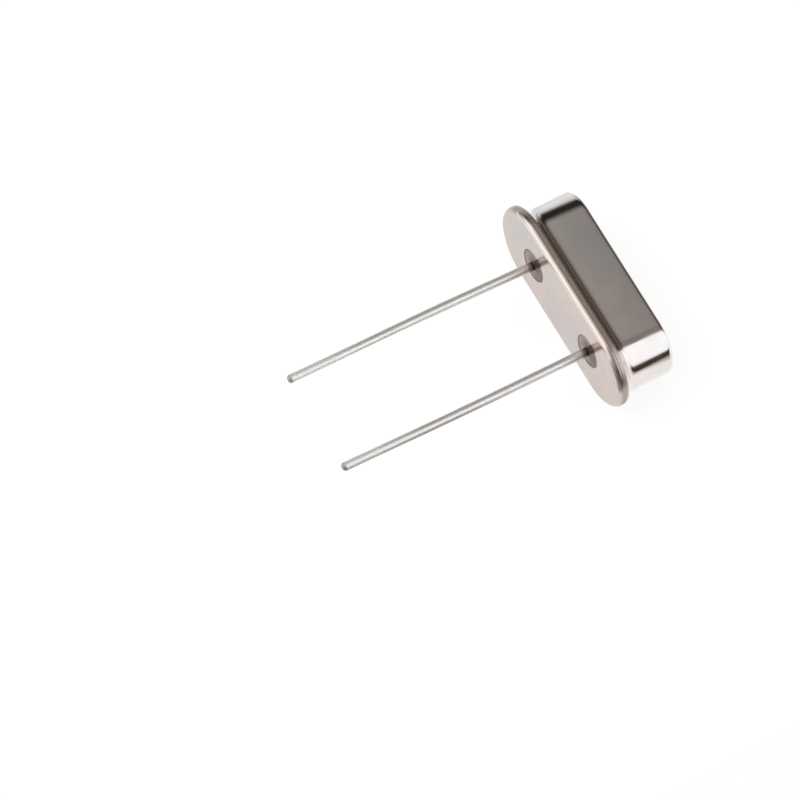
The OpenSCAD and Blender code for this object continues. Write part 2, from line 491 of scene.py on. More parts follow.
@dataclass(frozen=True)
class FusedGlass(Finish):
    """Sealing glass melted in the bore.

    It is smoky and glossy, with faint clouds in it. One side is darker and browner: painted shade. It
    looks darker where it meets the bore's wall, and dark reddish brown next to the wire, where oxide,
    painted shade and a painted reflection of the wire lie together.

    Attributes:
        smoke: Its colour where it is clear and away from the painted shade.
        clouds_and_painted_shade: Its colour in the clouds and on the painted shade side.
        rim: The colour next to the bore's wall.
        oxide_and_painted_shade: The colour next to the wire, oxide and painted shade together.
        gloss: Its roughness.
        ior: Its index of refraction.
        cloud_mm: How wide the clouds are.
        painted_shade_way: The way across the base towards which the painted shade grows.
        painted_shade_mm: How far from the wire the painted shade is full on one side and gone on the other.
        clouding: How much the clouds count.
        pitch_mm: The distance between the two bores.
        wire_mm: How far out the dark ring round the wire starts, and where it is full.
        wall_mm: How far out the dark ring along the wall starts, and where it is full.
    """

    smoke: str = "#958175"
    clouds_and_painted_shade: str = "#392419"
    rim: str = "#4B3A31"
    oxide_and_painted_shade: str = "#45322A"
    gloss: float = 0.10
    ior: float = 1.52
    cloud_mm: float = 0.35
    painted_shade_way: tuple[float, float] = (0.86, -0.50)
    painted_shade_mm: float = 0.65
    clouding: float = 0.5
    pitch_mm: float = 4.88
    wire_mm: tuple[float, float] = (0.62, 0.24)
    wall_mm: tuple[float, float] = (0.70, 0.82)

    def surface(self, tree: Tree, place: Socket) -> dict[str, object]:
        """Adds the clouds, the painted shade on one side and the two dark rings.

        Args:
            tree: The material's tree.
            place: The upright coordinates, in metres.

        Returns:
            What goes into the main shader's sockets.
        """
        pattern = {"Vector": place, "Scale": self.per_mm(self.cloud_mm), "Detail": 2.0}
        cloud = add_node(tree, "ShaderNodeTexNoise", pattern)["Fac"]
        bore = self.pitch_mm / 2 * MM
        flat, out = self.across(tree, place, (("SUBTRACT", bore), ("WRAP", bore, -bore)))
        # Painted shade, darker towards one side of the wire.
        slope = (flat, (*self.painted_shade_way, 0.0))
        shaded_side = add_node(tree, "ShaderNodeVectorMath", slope, operation="DOT_PRODUCT")["Value"]
        span = (shaded_side, -self.painted_shade_mm * MM, self.painted_shade_mm * MM, -self.clouding / 2, 1 - self.clouding / 2)
        shade_side_and_clouds = (cloud, self.clouding, add_node(tree, "ShaderNodeMapRange", span)["Result"])
        depth = add_node(tree, "ShaderNodeMath", shade_side_and_clouds, operation="MULTIPLY_ADD", use_clamp=True)[0]
        layers = [(depth, self.clouds_and_painted_shade)]
        # The ring at the wire is oxide and painted shade.
        for shade, (start, full) in ((self.oxide_and_painted_shade, self.wire_mm), (self.rim, self.wall_mm)):
            ring = add_node(tree, "ShaderNodeMapRange", (out, start * MM, full * MM))["Result"]
            layers.append((ring, shade))
        return {
            "Base Color": layered(tree, self.smoke, layers),
            "Roughness": self.gloss,
            "IOR": self.ior,
        }


@dataclass(frozen=True)
class PlainStock(Finish):
    """A hidden piece's stock: a colour that drifts between two shades, over a fine grain."""

    light: str = "#C8C0B4"
    dark: str = "#A89F92"
    metallic: float = 1.0
    roughness: float = 0.3
    transmission: float = 0.0
    drift_mm: float = 0.4
    grain_mm: float = 0.04
    grain_height_mm: float = 0.0004

    def surface(self, tree: Tree, place: Socket) -> dict[str, object]:
        """Adds the drift between the shades and the grain.

        Args:
            tree: The material's tree.
            place: The upright coordinates, in metres.

        Returns:
            What goes into the main shader's sockets.
        """
        pattern = {"Vector": place, "Scale": self.per_mm(self.drift_mm), "Detail": 3.0}
        drift = add_node(tree, "ShaderNodeTexNoise", pattern)["Fac"]
        return {
            "Metallic": self.metallic,
            "Roughness": self.roughness,
            "Transmission Weight": self.transmission,
            "Base Color": layered(tree, self.light, [(drift, self.dark)]),
            "Normal": self.uneven(tree, place, [(self.grain_mm, self.grain_height_mm, 2.0)]),
        }


# Geometry Nodes --------------------------


class OblongSweep:
    """A tree that carries a section round an oblong path and closes its open rims.

    The section comes in as a chain of edges, with x as the distance out from the middle line and z
    as the height. A straight of 0 turns it round a point. Rings that are left open near a height of
    0, or near the top, are closed by a flat face, with any bore in it left out.
    """

    # How close merged points lie, and the height under which a rim is at the foot, in millimetres.
    MERGE = 1e-5
    LOW = 0.1
    INPUTS = {
        "Straight": "NodeSocketFloat",
        "Arc steps": "NodeSocketInt",
        "Straight steps": "NodeSocketInt",
        "Bore pitch": "NodeSocketFloat",
        "Bore section": "NodeSocketObject",
        "Material": "NodeSocketMaterial",
    }
    # A point's number gives its place along the section and its station on the path. The station
    # gives the half of the path, the share of its bend and the share of its straight.
    FORMULAS = (
        ("half", "ADD", "Arc steps", "Straight steps"),
        ("stations", "MULTIPLY_ADD", "half", 2.0, 1.0),
        ("along", "MODULO", "index", "count"),
        ("points before", "SUBTRACT", "index", "along"),
        ("station", "DIVIDE", "points before", "count"),
        ("rest", "MODULO", "station", "half"),
        ("stations before", "SUBTRACT", "station", "rest"),
        ("turn", "DIVIDE", "stations before", "half"),
        ("bent", "MINIMUM", "rest", "Arc steps"),
        ("ahead", "SUBTRACT", "rest", "bent"),
        ("gone", "DIVIDE", "ahead", "Straight steps"),
        ("bend", "DIVIDE", "bent", "Arc steps"),
        ("turned", "ADD", "turn", "bend"),
        ("half turns", "SUBTRACT", "turned", 0.5),
        ("angle", "MULTIPLY", "half turns", math.pi),
        ("cosine", "COSINE", "angle"),
        ("sine", "SINE", "angle"),
        ("parity", "MODULO", "turn", 2.0),
        ("sign", "MULTIPLY_ADD", "parity", -2.0, 1.0),
        ("end", "MULTIPLY", "sign", "Straight"),
        ("to go", "SUBTRACT", 0.5, "gone"),
        ("reach", "MULTIPLY", "end", "to go"),
    )

    def __init__(self) -> None:
        """Builds the tree once, for every piece that uses it."""
        self.tree = bpy.data.node_groups.new("oblong sweep", "GeometryNodeTree")
        face = self.tree.interface
        face.new_socket("Section", in_out="INPUT", socket_type="NodeSocketGeometry")
        face.new_socket("Mesh", in_out="OUTPUT", socket_type="NodeSocketGeometry")
        self.sockets: dict[str, str] = {}
        for name, kind in self.INPUTS.items():
            self.sockets[name] = face.new_socket(name, in_out="INPUT", socket_type=kind).identifier
        self._build()

    def _swept(self, section: Socket, path: dict[str, object]) -> Socket:
        """Adds the nodes that sweep one section.

        Args:
            section: The chain of edges.
            path: The path's straight, arc steps and straight steps, by the names of the inputs.

        Returns:
            The swept mesh, not yet merged.
        """
        tree = self.tree
        size = add_node(tree, "GeometryNodeAttributeDomainSize", (section,), component="MESH")
        index = add_node(tree, "GeometryNodeInputIndex")[0]
        known = {**path, "count": size["Point Count"], "index": index}
        for name, operation, *taken in self.FORMULAS:
            inputs = tuple(known.get(item, item) for item in taken)
            known[name] = add_node(tree, "ShaderNodeMath", inputs, operation=operation)[0]
        corners = {"Vertices X": known["stations"], "Vertices Y": known["count"]}
        grid = add_node(tree, "GeometryNodeMeshGrid", corners)["Mesh"]
        place = add_node(tree, "GeometryNodeInputPosition")[0]
        asked = {"Geometry": section, "Value": place, "Index": known["along"]}
        sampled = add_node(tree, "GeometryNodeSampleIndex", asked, data_type="FLOAT_VECTOR", domain="POINT")
        out, _, height = add_node(tree, "ShaderNodeSeparateXYZ", (sampled[0],))
        spot = []
        for share, start in (("cosine", known["reach"]), ("sine", 0.0)):
            inputs = (out, known[share], start)
            spot.append(add_node(tree, "ShaderNodeMath", inputs, operation="MULTIPLY_ADD")[0])
        position = add_node(tree, "ShaderNodeCombineXYZ", (*spot, height))[0]
        return add_node(tree, "GeometryNodeSetPosition", {"Geometry": grid, "Position": position})[0]

    def _bores(self, inlet: bpy.types.NodeOutputs) -> Socket:
        """Adds the walls of the two bores, as one wall instanced at both places.

        Args:
            inlet: The tree's inputs.

        Returns:
            The walls, made real.
        """
        tree = self.tree
        section = add_node(tree, "GeometryNodeObjectInfo", {"Object": inlet["Bore section"]})["Geometry"]
        circle = {"Straight": 0.0, "Arc steps": inlet["Arc steps"], "Straight steps": 1.0}
        wall = self._swept(section, circle)
        ends = {}
        for name, share in (("Start Location", -0.5), ("Offset", 0.5)):
            out = add_node(tree, "ShaderNodeMath", (inlet["Bore pitch"], share), operation="MULTIPLY")[0]
            ends[name] = add_node(tree, "ShaderNodeCombineXYZ", (out,))[0]
        line = add_node(tree, "GeometryNodeMeshLine", {"Count": 2, **ends}, mode="END_POINTS")["Mesh"]
        placed = add_node(tree, "GeometryNodeInstanceOnPoints", {"Points": line, "Instance": wall})[0]
        return add_node(tree, "GeometryNodeRealizeInstances", (placed,))[0]

    def _cap(self, shell: Socket, low: bool) -> Socket:
        """Adds the flat face that closes the open rings at one end.

        Args:
            shell: The merged shell.
            low: Whether it is the face at height 0, and not the one at the top.

        Returns:
            The face.
        """
        tree = self.tree
        faces = add_node(tree, "GeometryNodeInputMeshEdgeNeighbors")["Face Count"]
        place = add_node(tree, "GeometryNodeInputPosition")[0]
        height = add_node(tree, "ShaderNodeSeparateXYZ", (place,))["Z"]
        tests = []
        for kind, operation, inputs in (
            ("INT", "EQUAL", {2: faces, 3: 1}),
            ("FLOAT", "LESS_THAN" if low else "GREATER_THAN", (height, self.LOW)),
        ):
            tests += [add_node(tree, "FunctionNodeCompare", inputs, data_type=kind, operation=operation)[0]]
        both = add_node(tree, "FunctionNodeBooleanMath", tuple(tests), operation="AND")[0]
        rims = add_node(tree, "GeometryNodeMeshToCurve", {"Mesh": shell, "Selection": both})[0]
        measured = {"Geometry": rims, "Attribute": height}
        level = add_node(tree, "GeometryNodeAttributeStatistic", measured, data_type="FLOAT")["Mean"]
        filled = add_node(tree, "GeometryNodeFillCurve", (rims,), mode="TRIANGLES")[0]
        lift = add_node(tree, "ShaderNodeCombineXYZ", {"Z": level})[0]
        flat = add_node(tree, "GeometryNodeTransform", {"Geometry": filled, "Translation": lift})[0]
        return add_node(tree, "GeometryNodeFlipFaces", (flat,))[0] if low else flat

    def _merged(self, *parts: Socket) -> Socket:
        """Adds the nodes that join parts and merge the points that they share.

        Args:
            parts: The parts.

        Returns:
            The merged mesh.
        """
        joined = add_node(self.tree, "GeometryNodeJoinGeometry", (list(parts),))[0]
        inputs = {"Geometry": joined, "Distance": self.MERGE}
        return add_node(self.tree, "GeometryNodeMergeByDistance", inputs)[0]

    def _build(self) -> None:
        """Adds the nodes from the section to the finished mesh."""
        tree = self.tree
        inlet = add_node(tree, "NodeGroupInput")
        path = {name: inlet[name] for name in ("Straight", "Arc steps", "Straight steps")}
        shell = self._merged(self._swept(inlet["Section"], path), self._bores(inlet))
        made = self._merged(shell, self._cap(shell, low=True), self._cap(shell, low=False))
        for kind in ("GeometryNodeSetShadeSmooth", "GeometryNodeRealizeInstances"):
            made = add_node(tree, kind, (made,))[0]
        dress = {"Geometry": made, "Material": inlet["Material"]}
        add_node(tree, "NodeGroupOutput", (add_node(tree, "GeometryNodeSetMaterial", dress)[0],))

    def mesh(
        self,
        name: str,
        section: list[Point],
        material: bpy.types.Material,
        straight: float = 0.0,
        steps: tuple[int, int] = (32, 1),
        bore: tuple[list[Point], float] | None = None,
    ) -> bpy.types.Mesh:
        """Sweeps a section and turns the result into a plain mesh.

        Args:
            name: The mesh's name.
            section: The section's points, as distance out and height.
            material: What the mesh is made of.
            straight: The length of the path's straight sides.
            steps: The faces of each half circle and of each straight side.
            bore: The section of a bore's wall and the distance between two such bores.

        Returns:
            The mesh, upright, in millimetres.
        """
        chain = self._chain(name, section)
        wall = self._chain(name + "_bore", bore[0]) if bore else None
        modifier = chain.modifiers.new("sweep", "NODES")
        modifier.node_group = self.tree
        pitch = bore[1] if bore else 0.0
        for key, value in zip(self.INPUTS, (straight, *steps, pitch, wall, material)):
            modifier[self.sockets[key]] = value
        graph = bpy.context.evaluated_depsgraph_get()
        made = bpy.data.meshes.new_from_object(chain.evaluated_get(graph))
        made.name = name
        chain.modifiers.clear()
        for spent in filter(None, (chain, wall)):
            bpy.data.meshes.remove(spent.data)
        return made

    @staticmethod
    def _chain(name: str, section: list[Point]) -> bpy.types.Object:
        """Draws a section as a chain of edges.

        Args:
            name: What the section is for.
            section: Its points, as distance out and height.

        Returns:
            The object that holds the chain.
        """
        data = bpy.data.meshes.new(name + "_section")
        edges = [(i, i + 1) for i in range(len(section) - 1)]
        data.from_pydata([(out, 0.0, height) for out, height in section], edges, [])
        return put(data.name, data)


# The crystal's pieces --------------------


@dataclass
class Piece:
    """What every sub-assembly shares.

    Its sizes are in millimetres. A half is counted from the middle line, and r is a radius. A support
    is a narrow extra strip that keeps the shading of a flat face flat. The steps are the faces of
    each half circle and of each straight side.

    Attributes:
        placement: Where the upright drawing lies.
        sweep: The tree that sweeps sections.
    """

    placement: Placement
    sweep: OblongSweep

    def show(self, mesh: bpy.types.Mesh, slot: Slot, *nodes: str) -> None:
        """Lays a mesh down and puts it in the scene in place of CAD nodes.

        Args:
            mesh: The upright mesh in millimetres.
            slot: The record's material slot. It is not used.
            nodes: The CAD nodes that it stands for.
        """
        mesh.transform(self.placement.matrix())
        piece = put(mesh.name, mesh)
        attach(piece, BODY)
        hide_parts(*nodes)
        log.info("%s: %d faces, for %s", piece.name, len(mesh.polygons), ", ".join(nodes))


@dataclass
class Can(Piece):
    """The drawn cover with its flange, in millimetres.

    The wall sweeps out in a wide bend into a cone, which ends at the flange's rounded edge. The top is
    a hair lower than the CAD's, so that the can stays in its box.
    """

    straight: float = 6.4
    half: float = 1.75
    height: float = 3.147
    wall: float = 0.2
    top_r: float = 0.25
    inner_sharper: float = 0.1
    seat: float = 0.28
    flange_half: float = 2.15
    edge_low: float = 0.40
    edge_r: float = 0.12
    seam_r: float = 0.012
    root_r: float = 0.45
    cone: float = 45.0
    inner_root: float = 0.48
    draft: float = 0.03
    side_steps: int = 12
    support: float = 0.02
    steps: tuple[int, int] = (64, 12)

    def root_top(self) -> float:
        """Works out where the wide bend meets the wall, so that the cone runs on smoothly.

        Returns:
            The height there.
        """
        turn = math.radians(self.cone)
        edge_out = self.flange_half - self.edge_r * (1 - math.cos(turn))
        edge_up = self.edge_low + self.edge_r * math.sin(turn)
        bend_out = self.half + self.root_r * (1 - math.cos(turn))
        bend_up = edge_up + (edge_out - bend_out) / math.tan(turn)
        return bend_up + self.root_r * math.sin(turn)

    def side(self) -> list[Point]:
        """Draws the wall's long side, which leans in a little towards the top.

        Returns:
            Its points, from the bottom up.
        """
        low, high = self.root_top(), self.height - self.top_r
        rise = [i / self.side_steps for i in range(self.side_steps + 1)]
        return [(self.half - self.draft * t * t, low + (high - low) * t) for t in rise]

    def section(self) -> list[Point]:
        """Draws the can's section.

        Returns:
            Its points, from the top's middle down the outside, and back up the inside.
        """
        lean, edge, bore = self.half - self.draft, self.flange_half, self.half - self.wall
        inner_r, inner_top = self.top_r - self.draft - self.inner_sharper, self.height - self.wall
        lip = (edge - self.seam_r, self.seat + self.seam_r)
        inner_bend = (bore + self.inner_root, self.seat + self.inner_root)
        points = [(0.0, self.height), (lean - self.top_r - self.support, self.height)]
        points += arc((lean - self.top_r, self.height - self.top_r), self.top_r, 90, 0, 14)
        points += self.side()[-2::-1]
        points += arc((self.half + self.root_r, self.root_top()), self.root_r, 180, 180 + self.cone, 16)[1:]
        points += arc((edge - self.edge_r, self.edge_low), self.edge_r, self.cone, 0, 8)
        points += [(edge, self.seat + self.seam_r + self.support)]
        points += arc(lip, self.seam_r, 0, -90, 4)
        points += arc(inner_bend, self.inner_root, 270, 180, 12)
        points += arc((bore - self.draft - inner_r, inner_top - inner_r), inner_r, 0, 90, 8)
        points += [(0.0, inner_top)]
        return points

    def build(self, finish: NickelPlate) -> None:
        """Builds and dresses the can.

        Args:
            finish: What it is plated with.
        """
        mesh = self.sweep.mesh("can_shell", self.section(), finish.material(), self.straight, self.steps)
        self.show(mesh, Slot.CAN, "can")


@dataclass
class Base(Piece):
    """The stamped base with its rim, its plug and its two bores, in millimetres."""

    straight: float = 6.4
    half: float = 2.15
    rim: float = 0.28
    rim_r: float = 0.24
    seam_r: float = 0.03
    plug_half: float = 1.5
    plug_top: float = 0.78
    plug_r: float = 0.08
    bore_r: float = 0.83
    bore_edge: float = 0.03
    pitch: float = 4.88
    cap_gap: float = 0.3
    support: float = 0.02
    steps: tuple[int, int] = (64, 12)

    def section(self) -> list[Point]:
        """Draws the base's section.

        Returns:
            Its points, from the outer face round the rim, and up to the plug's top.
        """
        start, plug = self.half - self.rim_r, self.plug_half - self.plug_r
        points = [(start - self.cap_gap, 0.0), (start - self.support, 0.0)]
        points += arc((start, self.rim_r), self.rim_r, -90, 0, 16)
        points += arc((self.half - self.seam_r, self.rim - self.seam_r), self.seam_r, 0, 90, 4)
        points += [(self.plug_half, self.rim), (self.plug_half, self.plug_top - self.plug_r - self.support)]
        points += arc((plug, self.plug_top - self.plug_r), self.plug_r, 0, 90, 6)
        points += [(plug - self.support, self.plug_top), (self.plug_half - self.cap_gap, self.plug_top)]
        return points

    def bore(self) -> list[Point]:
        """Draws the section of a bore's wall.

        Returns:
            Its points, from the plug's top down to the outer face.
        """
        out, edge = self.bore_r + self.bore_edge, self.bore_edge
        rims = (out + 2 * self.support, out + self.support)
        points = [(rim, self.plug_top) for rim in rims]
        points += arc((out, self.plug_top - edge), edge, 90, 180, 4)
        points += arc((out, edge), edge, 180, 270, 4)
        points += [(rim, 0.0) for rim in reversed(rims)]
        return points

    def build(self, finish: NickelPlate) -> None:
        """Builds and dresses the base.

        Args:
            finish: What it is plated with.
        """
        bore = (self.bore(), self.pitch)
        material = finish.material()
        mesh = self.sweep.mesh("base_plate", self.section(), material, self.straight, self.steps, bore)
        self.show(mesh, Slot.BASE, "base")


@dataclass
class Terminal(Piece):
    """One lead in its glass bead, in millimetres.

    The tin is a little uneven, in two series of waves. Handling has left the wire leaning and swaying
    a little along the can. The glass climbs the wire, and less far the bore. The larger a cling, the
    sooner that climb dies away.
    """

    side: Side = Side.LEFT
    pitch: float = 4.88
    wire_r: float = 0.205
    tin_r: float = 0.215
    tin_start: float = 0.3
    length: float = 12.9
    tip_r: float = 0.18
    lead_steps: int = 120
    ripple: float = 0.0015
    ripples: tuple[float, float] = (17, 41)
    phase: float = 2.0
    lean: float = 0.0
    sway: float = -0.035
    sway_mm: float = 17.6
    head_r: float = 0.45
    head_low: float = 0.9
    head_top: float = 1.05
    head_edge: float = 0.04
    fillet: float = 0.02
    bead_r: float = 0.83
    bead_low: float = 0.03
    bead_top: float = 0.75
    bead_steps: int = 14
    climb: float = 0.06
    bore_climb: float = 0.4
    inner_climb: float = 0.5
    wire_cling: float = 9.0
    bore_cling: float = 12.0
    steps: tuple[int, int] = (24, 1)

    def lead_section(self) -> list[Point]:
        """Draws the lead's section.

        Returns:
            Its points, from the tip up to the head inside the can.
        """
        tip, edge = -self.length, self.head_edge
        points = [(0.0, tip)]
        points += arc((self.tin_r - self.tip_r, tip + self.tip_r), self.tip_r, -90, 0, 8)
        span = self.length - self.tip_r - self.tin_start
        for i in range(1, self.lead_steps + 1):
            share = i / self.lead_steps
            points.append((self.tin_r - self.wave(share), tip + self.tip_r + span * share))
        points += [(self.wire_r, self.fillet - self.tin_start), (self.wire_r, self.head_low - self.fillet)]
        points += [(self.wire_r + self.fillet, self.head_low)]
        points += arc((self.head_r - edge, self.head_low + edge), edge, -90, 0, 4)
        points += arc((self.head_r - edge, self.head_top - edge), edge, 0, 90, 4)
        points += [(0.0, self.head_top)]
        return points

    def wave(self, share: float) -> float:
        """Tells how uneven the tin is.

        Args:
            share: The share of the tinned length, from the tip up.

        Returns:
            How far the tin falls short of its full radius there.
        """
        waves = [math.sin(self.ripples[i] * share + (i + 1) * self.phase) for i in (0, 1)]
        return self.ripple * (2 + sum(waves))

    def bend(self, lead: bpy.types.Mesh) -> None:
        """Bends the lead along the can, from the base down to its tip.

        Args:
            lead: The upright lead.
        """
        for vertex in lead.vertices:
            depth = max(0.0, -vertex.co.z)
            sway = self.sway * math.sin(math.tau * depth / self.sway_mm)
            vertex.co.x += self.lean * depth / self.length + sway

    def bead_section(self) -> list[Point]:
        """Draws the bead's section, which wets both the wire and the bore and sags between them.

        Returns:
            Its points, all the way round.
        """
        reach = self.bead_r - self.wire_r
        low, high = [], []
        for i in range(self.bead_steps + 1):
            share = i / self.bead_steps
            wire, bore = math.exp(-self.wire_cling * share), math.exp(-self.bore_cling * (1 - share))
            rise = self.climb * (wire + self.bore_climb * bore)
            low.append((self.wire_r + reach * share, self.bead_low - rise))
            high.append((self.wire_r + reach * share, self.bead_top + rise * self.inner_climb))
        return low + high[::-1] + low[:1]

    def build(self, tin: bpy.types.Material, glass: bpy.types.Material) -> None:
        """Builds and dresses the lead and its bead.

        Args:
            tin: The lead's material.
            glass: The bead's material.
        """
        word = self.side.name.lower()
        lead = self.sweep.mesh(f"lead_wire_{word}", self.lead_section(), tin, steps=self.steps)
        bead = self.sweep.mesh(f"glass_bead_{word}", self.bead_section(), glass, steps=self.steps)
        self.bend(lead)
        for mesh, slot, node in ((lead, Slot.TIN, "lead"), (bead, Slot.GLASS, "glass_seal")):
            mesh.transform(Matrix.Translation((self.side.value * self.pitch / 2, 0, 0)))
            self.show(mesh, slot, f"{node}_{word}")


@dataclass
class Inside:
    """The pieces in the sealed can, which stay as the CAD has them and only get their finishes.

    Attributes:
        nodes: The CAD's pieces by name.
        placement: Where the upright drawing lies.
    """

    nodes: dict[str, bpy.types.Object]
    placement: Placement

    def dress(self) -> None:
        """Gives each hidden piece its material."""
        lapped = {"light": "#F2F6F8", "dark": "#E4EAEE", "metallic": 0.0, "roughness": 0.35}
        silver = {"light": "#F4F3F1", "dark": "#E6E4E0", "roughness": 0.2}
        epoxy = {"light": "#B4B3AE", "dark": "#8F8E8A", "metallic": 0.3, "roughness": 0.6}
        stock = (
            (("clip_left", "clip_right"), "spring strip, rolled nickel alloy", {"roughness": 0.28}),
            (("quartz_blank",), "quartz, lapped", {"transmission": 0.85, **lapped}),
            (("electrode_top", "electrode_bottom"), "silver, evaporated", silver),
            (("adhesive_left", "adhesive_right"), "epoxy, silver-filled", epoxy),
        )
        for names, finish, values in stock:
            material = PlainStock(finish, self.placement, **values).material()
            for name in names:
                materials = self.nodes[name].data.materials
                materials.clear()
                materials.append(material)
                log.info("%s: %s", name, finish)


# The studio ------------------------------


@dataclass(frozen=True)
class Panel:
    """A soft box, flag or stretch of wall round the object, or a patch of painted light or painted shade on
    the floor under it.

    Round the object, the first way is the angle round the Y axis, from overhead towards +X, and the
    second the angle from there towards +Y, both in degrees. A soft box whose long edges run along Y
    has edges at one angle each. On the floor, the two ways are +X and +Y, in millimetres.

    Attributes:
        name: What it is.
        first: Where it starts and ends in the first way.
        second: Where it starts and ends in the second way.
        soft: How wide its soft edges are, in each way.
        level: How bright it is, where 1 is white.
        tint: Its colour.
    """

    name: str
    first: tuple[float, float]
    second: tuple[float, float]
    soft: tuple[float, float]
    level: float
    tint: str = "#FFFFFF"

    def light(self) -> Colour:
        """Gives the panel's linear colour at its level."""
        red, green, blue, _ = linear(self.tint)
        return red * self.level, green * self.level, blue * self.level, 1.0


@dataclass
class Studio:
    """A white floor in a grey room, with soft boxes and flags, and patches of painted light and painted
    shade on the floor, that only the metal mirrors.

    Attributes:
        room: How bright the room is to metal.
        panels: What stands round the object, the furthest first.
        painted_floor_light_and_shade: The patches of painted light and painted shade on the floor, the
            lowest first.
        diffuse: How bright the world is to dull surfaces.
        floor_edges: Where the floor ends: left, right, front and back, in millimetres.
        floor_paper: The floor's colour.
        floor_lift: How much of the floor's white doesn't depend on the lamps.
        floor_white: How bright the floor is to the camera, where 1 is white.
        floor_near: How bright the floor is to metal where no patch lies.
        key_way: The direction from the object to the lamp.
        key_level: How bright the lamp makes a white surface that faces it.
        key_size: The lamp's width, in metres.
        key_distance: How far off it hangs, in metres.
    """

    room: float = 0.47
    panels: tuple[Panel, ...] = (
        Panel("far floor", (90, 270), (-100, 100), (1, 1), 0.9),
        Panel("far floor on the left", (-200, -90), (-100, 100), (1, 1), 1.1, "#F1F9FF"),
        Panel("grey end wall", (-90, 90), (30, 100), (1, 12), 0.30),
        Panel("dark end wall", (-90, 90), (54, 100), (1, 12), 0.12, "#FFEDE0"),
        Panel("low end wall", (-165, -88), (54, 100), (2, 8), 0.14, "#FFEDE0"),
        Panel("dark front right", (46, 110), (-70, 6), (30, 16), 0.18, "#FFDFC8"),
        Panel("edge of the strip light", (-8, 14), (9, 76), (10, 8), 0.28),
        Panel("dark end of that edge", (-10, 14), (44, 80), (8, 14), 0.16),
        Panel("strip light on the right", (12, 102), (9, 100), (3, 8), 1.74, "#EDF7FF"),
        Panel("grey end of the strip light", (14, 31), (71, 81), (6, 5), 0.45),
        Panel("bright end of the strip light", (80, 200), (66, 100), (10, 6), 2.0, "#EAF2FC"),
        Panel("black gap on the right", (79, 106), (-4, 44), (7, 12), 0.06, "#FFE0CC"),
        Panel("low light on the left", (-110, -70), (8, 38), (16, 8), 1.22, "#F6FAFF"),
        Panel("flag on the left", (-78, -40), (-6, 54), (24, 14), 0.03, "#FFE6D4"),
        Panel("foot of the flag", (-104, -64), (47, 62), (10, 8), 0.04, "#FFE6D4"),
        Panel("overhead on the left", (-42, -6), (-24, 8), (10, 12), 1.3),
        Panel("soft box in front", (-72, -14), (-84, -23), (34, 10), 1.64),
        Panel("soft box in front, at the side", (-16, 20), (-90, -50), (18, 16), 1.05),
    )
    # Patches of painted light and painted shade in the floor's colour, which only metal and glass see; the
    # bright ones are painted light, the dark ones painted shade.
    painted_floor_light_and_shade: tuple[Panel, ...] = (
        Panel("card in front", (-70, 70), (-70, -0.5), (1, 3), 1.75),
        Panel("card behind", (-70, 70), (14.5, 70), (1, 3), 0.08),
        Panel("white card behind on the right", (3.2, 10), (12, 70), (1.4, 3), 1.5),
        Panel("card on the right", (4.5, 70), (5.8, 24), (2, 1.4), 1.52, "#F2F8FD"),
        Panel("grey card on the right", (10.5, 70), (9.8, 70), (5, 1.6), 0.62),
        Panel("bright card on the right", (4.5, 9), (12.4, 26), (2, 2), 2.0, "#ECF4FF"),
        Panel("bright card further right", (8, 12.5), (17, 26), (3, 3), 2.0, "#ECF4FF"),
        Panel("foot of the black gap", (20.5, 70), (-70, 70), (5, 1), 0.08, "#FFE0CC"),
        Panel("card at the left end", (-70, -5), (5.5, 13.5), (3, 4), 1.22, "#F1F9FF"),
        Panel("bright card at the left end", (-9.3, -4), (5.9, 8), (2, 1.2), 1.62, "#F6FBFF"),
        Panel("card on the left", (-70, -14), (9.8, 23), (8, 4), 1.42, "#F1F9FF"),
        Panel("dark card at the left end", (-10, -5), (11.5, 70), (1.6, 2), 0.05),
        Panel("dark card further left", (-22, -10), (16, 70), (3, 3), 0.05),
        Panel("grey card on the left", (-70, -9.5), (-8, 6.6), (4, 0.8), 0.74, "#EEF4FF"),
        Panel("greyer card on the left", (-70, -15), (-4, 9.6), (6, 0.8), 0.56, "#F4F7FF"),
        Panel("dark card on the right", (11.5, 70), (-70, 5.2), (5, 1.6), 0.42, "#FFE6D4"),
        Panel("darker card on the right", (15, 70), (-70, 9.6), (6, 1.6), 0.25, "#FFE6D4"),
        Panel("dark card on the right in front", (2.3, 70), (-70, 0.9), (1.2, 2.6), 0.25, "#FFDCC4"),
        Panel("card under the tips", (-9, 4.5), (-15, -9.3), (2, 1), 0.6),
        Panel("card under the rim", (-5.6, 0.6), (4.3, 4.7), (1, 0.1), 1.6),
    )
    diffuse: float = 0.85
    floor_edges: tuple[float, float, float, float] = (-60.0, 22.0, -60.0, 33.0)
    floor_paper: str = "#F7F6F4"
    floor_lift: float = 0.8
    floor_white: float = 1.06
    floor_near: float = 0.94
    key_way: tuple[float, float, float] = (-0.45, -0.6, 0.85)
    key_level: float = 0.25
    key_size: float = 0.12
    key_distance: float = 0.2

    def build(self) -> None:
        """Builds the world, the floor, the lamp and the camera."""
        self._world()
        self._floor()
        self._lamp()
        self._camera()
        bpy.context.scene.view_settings.view_transform = "Standard"

    @staticmethod
    def _rays(tree: Tree) -> tuple[Socket, Socket]:
        """Tells what sees a surface.

        Args:
            tree: The surface's tree.

        Returns:
            Whether it is the camera, and whether it is metal or glass.
        """
        path = add_node(tree, "ShaderNodeLightPath")
        shiny = (path["Is Glossy Ray"], path["Is Transmission Ray"])
        return path["Is Camera Ray"], add_node(tree, "ShaderNodeMath", shiny, operation="MAXIMUM")[0]

